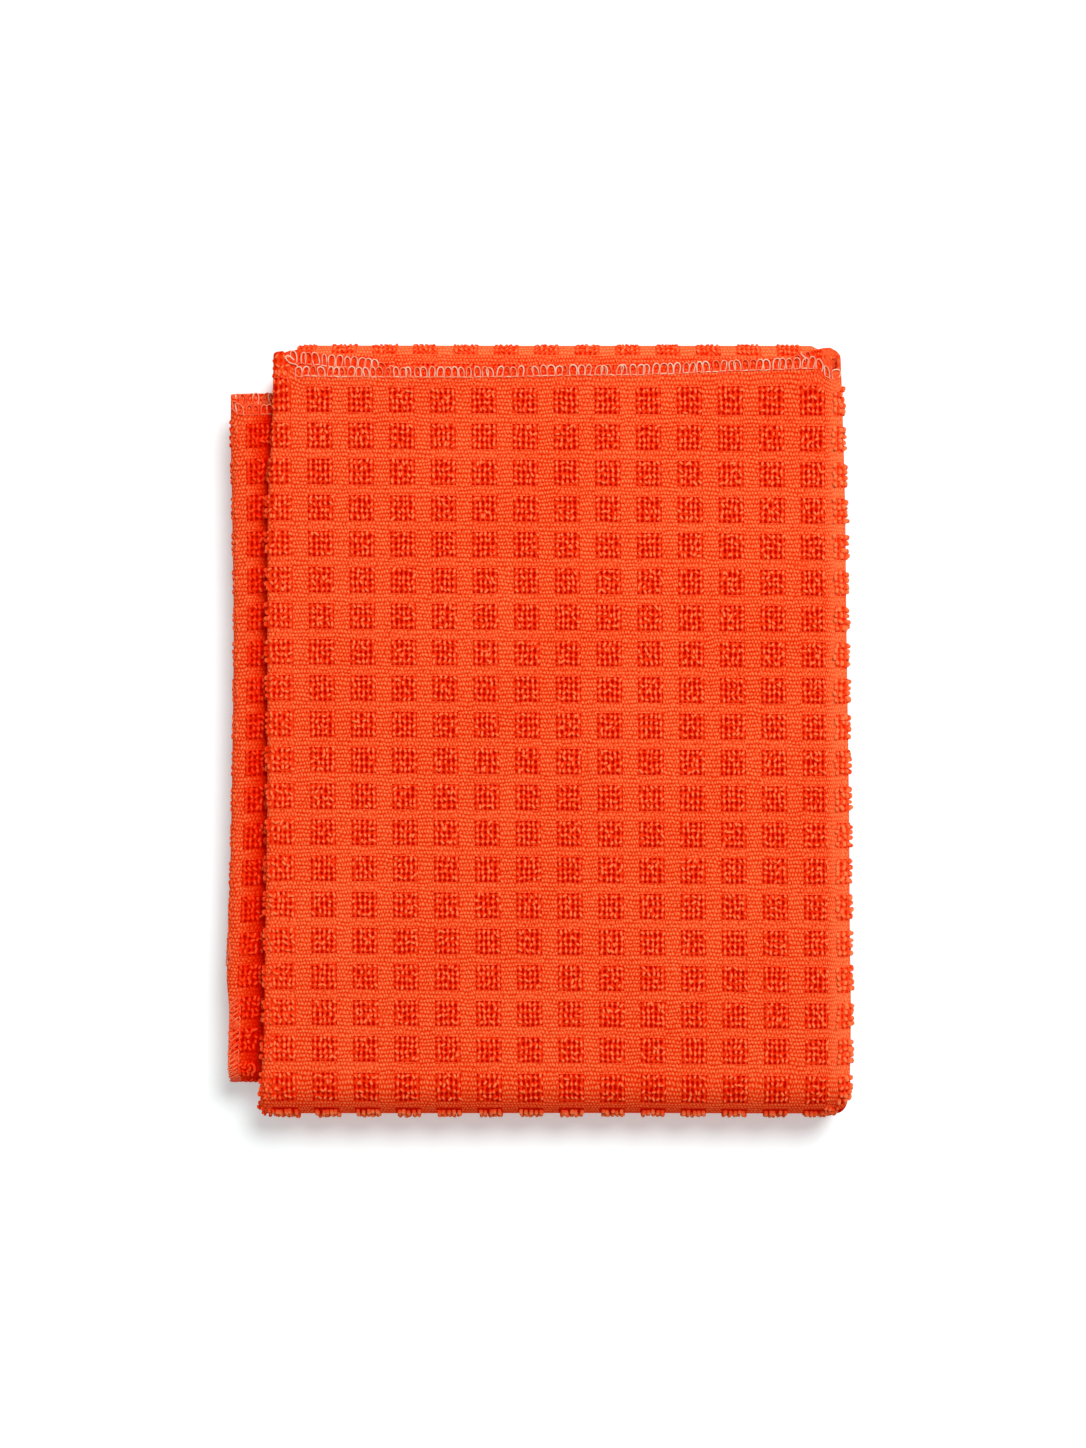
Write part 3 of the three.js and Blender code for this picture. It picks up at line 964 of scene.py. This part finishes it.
def joined_mesh(name, points, faces, uvs, material):
    """A smooth mesh from arrays, with a map value for each point."""
    mesh = bpy.data.meshes.new(name)
    mesh.from_pydata(points.tolist(), [], faces.tolist())
    layer = mesh.uv_layers.new(name="UVMap")
    layer.uv.foreach_set("vector", uvs[faces.ravel()].astype(np.float32).ravel())
    mesh.polygons.foreach_set("use_smooth", np.ones(len(mesh.polygons), bool))
    mesh.materials.append(material)
    mesh.update()
    return mesh


# Steps of a stitch: share of its width, share of its lean, share of the bite inwards,
# share of its own top, and height above the face in millimetres
STITCH = (
    (0.1, 0, 1, 0, -0.2), (0, 0.3, 0.7, 0, 0.3), (0, 0.7, 0.35, 0, 0.4),
    (0.15, 0.95, 0.08, 1, 0.4), (0.5, 1, -0.04, 1, 0.3), (0.85, 0.95, 0.08, 1, 0.4),
    (1, 0.7, 0.35, 0, 0.4), (1, 0.3, 0.7, 0, 0.3), (0.9, 0, 1, 0, -0.2),
)

# How far the stitches stray, how wide they are in the mean with their spread, and how far
# their tops reach past the edge, at the least and the most
STITCH_STRAY = 0.14
STITCH_WIDTH = (0.85, 0.11)
STITCH_TOPS = (-0.1, 0.35)

# The needle's thread: points to a stitch, where it dips and lies, how far it strays, and the
# share of pale stitches past which it is pale as well
NEEDLE_POINTS = 4
NEEDLE_DIP = -0.5
NEEDLE_HEIGHT = 0.2
NEEDLE_STRAY = 0.1
MOSTLY_PALE = 0.5


def stitch_row(hem, start, end, slant, rng):
    """Stitches over one edge: places along it, inwards and above the face, in millimetres."""
    bite, stitch = hem.bite / MM, hem.stitch / MM
    starts = np.arange(start, end, stitch)
    count = len(starts)
    first = starts + rng.normal(0, STITCH_STRAY, count) * stitch
    wide = stitch * rng.normal(*STITCH_WIDTH, count)
    lean = rng.normal(0, STITCH_STRAY, count) * stitch + slant
    top = rng.uniform(*STITCH_TOPS, count)
    steps = []
    for share, leaning, inwards, above_top, height in STITCH:
        along_edge = first + wide * share + lean * leaning
        steps.append((along_edge, bite * inwards + top * above_top, np.full(count, height)))
    return np.transpose(np.array(steps), (2, 0, 1))


def needle_row(hem, start, end, rng):
    """The needle's thread along one edge, dipping at each stitch, laid out as a stitch is."""
    places = np.arange(start, end, hem.stitch / MM / NEEDLE_POINTS)
    count = len(places)
    inwards = hem.bite / MM + rng.normal(0, NEEDLE_STRAY, count)
    heights = np.where(np.arange(count) % NEEDLE_POINTS == 0, NEEDLE_DIP, NEEDLE_HEIGHT)
    return np.stack([places, inwards, heights], axis=-1)


def on_edge(edge, face, steps, sizes):
    """Points of thread by the top or the side edge, on one face of the cloth."""
    at, inwards, height = np.moveaxis(steps, -1, 0)
    across, along = (at, inwards) if edge == "top" else (edge_at(at) - inwards, at)
    _, _, out = cloth_axes(across, along)
    above_middle = (sizes.knit_thickness / 2 + height * MM) * face
    return cloth_point(across, along) + out * above_middle[..., None]


def thread_mesh(name, paths, radius, material):
    """Joined tubes of thread along smooth paths, closed at their ends."""
    curve = bpy.data.curves.new(name, "CURVE")
    curve.dimensions = "3D"
    curve.bevel_depth = radius
    curve.bevel_resolution = 0
    curve.use_fill_caps = True
    curve.resolution_u = 2
    for path in paths:
        spline = curve.splines.new("NURBS")
        spline.points.add(len(path) - 1)
        spline.points.foreach_set("co", np.insert(np.array(path), 3, 1, axis=1).ravel())
        spline.order_u = 3
        spline.use_endpoint_u = True
    holder = bpy.data.objects.new(name, curve)
    mesh = bpy.data.meshes.new_from_object(holder)
    bpy.data.objects.remove(holder)
    mesh.name = name
    mesh.polygons.foreach_set("use_smooth", np.ones(len(mesh.polygons), bool))
    mesh.materials.clear()
    mesh.materials.append(material)
    return added(name, mesh)


class MakeKnit(bpy.types.Operator):
    """Lay the knitted cloth on its folds"""

    bl_idname = "floor_cloth.knit"
    bl_label = "Knitted cloth"

    def execute(self, context):
        scene = context.scene
        material = knit_material("terry knit", scene.cloth_sizes, scene.cloth_colours)
        cloth = knit_sheet("cloth_knit", scene.cloth_sizes, material)
        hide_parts("cloth")
        return {"FINISHED"}


# Blocks of squares that show: their columns and rows, thickness of the yarn, sides and steps
# of a loop, face, height, share of the disorder, least and most tone of their painted shade
# and light, and light from above
PILE = (
    ("pile_top_first", (12, 13), (0, 20), 1, 5, 5, 1, 0.55, 1, (0.12, 1), 0),
    ("pile_top_left", (13, 17), (0, 20), 1, 5, 5, 1, 0.5, 1, (0, 1), 0),
    ("pile_top_middle", (17, 22), (0, 20), 1, 5, 5, 1, 0.5, 1, (0, 1), 0),
    ("pile_top_right", (22, 26), (0, 20), 1, 5, 5, 1, 0.5, 1, (0, 1), 0),
    ("pile_bottom_bend", (12, 26), (20.06, 23), 1.35, 6, 5, 1, 1.25, 0.4, (0.45, 1), 1),
    # The strip's loops get painted shade: they lie beside the middle third, in its shadow
    ("pile_strip", (39, 41), (0, 22), 1, 5, 5, -1, 0.6, 1, (0, 0.64), 0),
    ("pile_strip_edge", (40.75,), (0, 22), 1, 5, 4, -1, 0.55, 1, (0.4, 0.9), 1),
    ("pile_top_bend", (12, 28), (42, 46), 1, 5, 4, 1, 0.6, 0.8, (0.15, 1), 0.5),
    ("pile_under", (12, 27), (23, 42), 1, 4, 3, 1, 0.8, 1, (0, 1), 0),
    ("pile_left_corner", (12, 13), (-0.64,), 1, 5, 5, 1, 0.5, 1, (0, 1), 0),
    ("pile_right_corner", (26.2,), (-0.7,), 1, 5, 5, -1, 0.5, 1, (0, 1), 0),
    ("pile_bottom_corner", (25.5,), (19.8,), 1.1, 5, 5, 1, 0.9, 1, (0.3, 0.9), 1),
    ("pile_left_fold", (11.45,), (0, 64), 1.05, 5, 4, 1, 1, 0.7, (0.25, 0.85), 2),
    ("pile_right_fold", (26, 27), (0, 20), 1.3, 5, 5, 1, 1.1, 0.6, (0.5, 1.0), 1),
    ("pile_right_fold_back", (26, 27), (21, 64), 1.3, 5, 4, 1, 1.1, 0.6, (0.3, 0.95), 1),
)


class MakePile(bpy.types.Operator):
    """Stand the terry loops on the cloth's raised squares"""

    bl_idname = "floor_cloth.pile"
    bl_label = "Terry pile"

    def execute(self, context):
        scene = context.scene
        sizes = scene.cloth_sizes
        material = pile_material(scene.cloth_colours)
        rng = np.random.default_rng(11)
        for name, columns, rows, thick, sides, steps, *looks in PILE:
            places = loop_places(sizes, columns, rows, rng)
            shape = loop_shape(sizes, thick, sides, steps)
            lay_loops(name, sizes, places, shape, rng, material, *looks)
        return {"FINISHED"}


# Rows of overlock: edge, face, start and end along the edge, share of pale stitches, and how
# far the stitches slant in millimetres
HEMS = (
    ("top", 1, 181, 364.3, 0.85, 0),
    ("top", 1, 366, 369.4, 1, 0),
    ("top", 1, 0, 164.6, 0.85, 0),
    ("top", -1, 0, 164.6, 0.85, 0),
    ("top", -1, 385, 577, 0, 0),
    ("top", -1, 577, 590, 0.3, 0),
    ("top", 1, 590, 610, 0.3, 0),
    ("side", -1, 2, 196, 0.06, 2.6),
    ("side", -1, 212, 300, 0.06, 2.6),
    ("side", 1, 2, 300, 0.06, 2.6),
)

# Loose turns of thread at the hem's ends: across, along and above the cloth
LOOSE_THREADS = (
    (
        (180.4, -1.2, 0.2), (178.8, 0.9, 0.3), (177.4, 1.9, 0.3), (177.6, 2.9, 0.3),
        (178.9, 3.1, 0.3), (180.3, 0.4, 0.5), (181.4, -1.0, 0.4), (181.8, 0.0, 0.2),
    ),
    ((357.8, -1.6, 0.0), (358.4, -0.4, 0.4), (359.6, 0.3, 0.4), (359.4, 1.2, 0.2)),
)


class MakeHem(bpy.types.Operator):
    """Sew the overlock thread over the cloth's edges"""

    bl_idname = "floor_cloth.hem"
    bl_label = "Overlocked hem"

    def execute(self, context):
        scene = context.scene
        sizes, hem, colours = scene.cloth_sizes, scene.hem_sizes, scene.cloth_colours
        rng = np.random.default_rng(5)
        pale, dyed, mixed = [], [], []
        for edge, face, start, end, pale_share, slant in HEMS:
            stitches = stitch_row(hem, start, end, slant, rng)
            for stitch in on_edge(edge, face, stitches, sizes):
                (pale if rng.uniform() < pale_share else dyed).append(stitch)
            needle = on_edge(edge, face, needle_row(hem, start, end, rng), sizes)
            (mixed if pale_share > MOSTLY_PALE else dyed).append(needle)
        for points in LOOSE_THREADS:
            pale.append(on_edge("top", 1, np.array(points), sizes))
        looks = {
            "overlock_pale": (pale, colours.thread, colours.dyed_thread),
            "overlock_dyed": (dyed, colours.dyed_thread, colours.body),
            "overlock_needle": (mixed, colours.dyed_thread, colours.thread),
        }
        for name, (paths, first, second) in looks.items():
            material = thread_material(name.replace("_", " "), first, second)
            thread_mesh(name, paths, hem.radius, material)
        return {"FINISHED"}


class MakeStage(bpy.types.Operator):
    """Set the floor, the lights and the camera"""

    bl_idname = "floor_cloth.stage"
    bl_label = "Stage"

    def execute(self, context):
        scene = context.scene
        stage = scene.stage_sizes
        x, y = (-value * MM for value in PACKET_CENTRE)
        top = (SHEET + FLAP_LEVEL * LAYER) * MM
        bpy.ops.mesh.primitive_plane_add(size=stage.floor_size)
        floor = context.object
        floor.name = "floor"
        sheet = MaterialSheet("floor")
        sheet.shade(Base_Color=(*stage.floor_colour, 1), Roughness=0.9, Specular_IOR_Level=0.0)
        glow = (*stage.floor_glow_colour, 1)
        sheet.shade(Emission_Color=glow, Emission_Strength=stage.floor_glow)
        floor.data.materials.append(sheet.material)
        world = bpy.data.worlds.new("studio")
        world.use_nodes = True
        background = world.node_tree.nodes["Background"]
        background.inputs["Color"].default_value = (1, 1, 1, 1)
        background.inputs["Strength"].default_value = stage.sky
        scene.world = world
        key = bpy.data.lights.new("key", "AREA")
        key.energy = stage.key
        key.shape = "DISK"
        key.size = stage.key_size
        lamp = bpy.data.objects.new("key", key)
        lamp.location = Vector((x, y, 0)) + Vector(stage.key_place)
        lamp.rotation_euler = Vector(stage.key_place).to_track_quat("Z", "Y").to_euler()
        scene.collection.objects.link(lamp)
        camera = bpy.data.cameras.new("camera")
        height = stage.picture_height * stage.pixel
        camera.lens = camera.sensor_width * stage.camera_height / height
        holder = bpy.data.objects.new("camera", camera)
        holder.location = (x, y, top + stage.camera_height)
        scene.collection.objects.link(holder)
        scene.camera = holder
        scene.view_settings.view_transform = "Standard"
        return {"FINISHED"}


class FloorClothPanel(bpy.types.Panel):
    """Lists the steps that make the floor cloth"""

    bl_idname = "VIEW3D_PT_floor_cloth"
    bl_label = "Floor cloth"
    bl_space_type = "VIEW_3D"
    bl_region_type = "UI"
    bl_category = "Floor cloth"

    def draw(self, context):
        for operator in STEPS:
            self.layout.operator(operator.bl_idname)


STEPS = (MakeKnit, MakePile, MakeHem, MakeStage)
GROUPS = {
    "cloth_sizes": ClothSizes,
    "cloth_colours": ClothColours,
    "hem_sizes": HemSizes,
    "stage_sizes": StageSizes,
}


def register():
    """Register the sizes, the steps and the panel."""
    for name, group in GROUPS.items():
        bpy.utils.register_class(group)
        setattr(bpy.types.Scene, name, bpy.props.PointerProperty(type=group))
    for step in (*STEPS, FloorClothPanel):
        bpy.utils.register_class(step)


def unregister():
    """Take the classes and sizes out again."""
    for step in (FloorClothPanel, *reversed(STEPS)):
        bpy.utils.unregister_class(step)
    for name, group in reversed(GROUPS.items()):
        delattr(bpy.types.Scene, name)
        bpy.utils.unregister_class(group)


def main():
    """Make every piece in order."""
    register()
    bpy.ops.floor_cloth.knit()
    bpy.ops.floor_cloth.pile()
    bpy.ops.floor_cloth.hem()
    bpy.ops.floor_cloth.stage()


if __name__ == "__main__":
    main()
